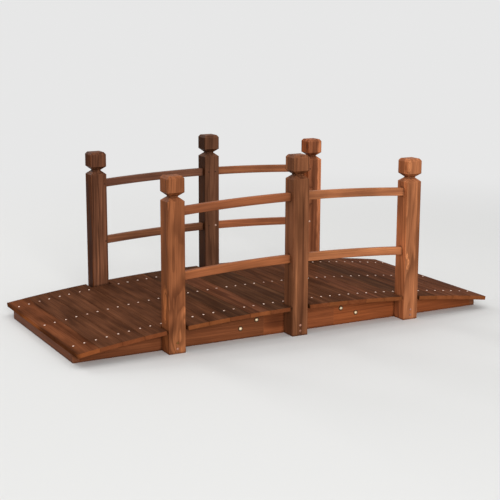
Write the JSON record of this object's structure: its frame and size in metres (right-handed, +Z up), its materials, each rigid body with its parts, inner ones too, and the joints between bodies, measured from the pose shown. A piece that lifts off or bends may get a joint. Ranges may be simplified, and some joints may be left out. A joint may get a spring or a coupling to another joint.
{
  "type": "moon bridge",
  "caption": "Small arched garden footbridge of stained timber: an arched board deck, square posts with grooved heads and two curved rails a side.",
  "frame": {"origin": "on the ground, in the middle of the bridge's length and width", "axes": "+X along the bridge towards its right end, +Z up; -Y is the near side of the picture"},
  "size_m": [1.485, 0.673, 0.5722],
  "materials": {
    "deck_timber": "dark red-brown stain, satin",
    "post_timber": "orange-brown stain over bold grain, satin",
    "rail_timber": "orange-brown stain, satin",
    "beam_timber": "orange-brown stain, satin",
    "end_timber": "red-brown stain, satin"
  },
  "bodies": {
    "root": {"beam_near_left": "beam_timber", "beam_near_middle": "beam_timber", "beam_near_right": "beam_timber", "beam_centre_left": "beam_timber", "beam_centre_middle": "beam_timber", "beam_centre_right": "beam_timber", "beam_far_left": "beam_timber", "beam_far_middle": "beam_timber", "beam_far_right": "beam_timber", "end_boards": "end_timber", "post_near_left": "post_timber", "post_near_middle": "post_timber", "post_near_right": "post_timber", "post_far_left": "post_timber", "post_far_middle": "post_timber", "post_far_right": "post_timber", "lower_rail_near_left": "rail_timber", "lower_rail_near_right": "rail_timber", "lower_rail_far_left": "rail_timber", "lower_rail_far_right": "rail_timber", "top_rail_near_left": "rail_timber", "top_rail_near_right": "rail_timber", "top_rail_far_left": "rail_timber", "top_rail_far_right": "rail_timber", "plank_01": "deck_timber", "plank_02": "deck_timber", "plank_03": "deck_timber", "plank_04": "deck_timber", "plank_05": "deck_timber", "plank_06": "deck_timber", "plank_07": "deck_timber", "plank_08": "deck_timber", "plank_09": "deck_timber", "plank_10": "deck_timber", "plank_11": "deck_timber", "plank_12": "deck_timber", "plank_13": "deck_timber", "plank_14": "deck_timber", "plank_15": "deck_timber", "plank_16": "deck_timber", "plank_17": "deck_timber", "plank_18": "deck_timber", "plank_19": "deck_timber", "plank_20": "deck_timber", "plank_21": "deck_timber"}
  },
  "joints": []
}
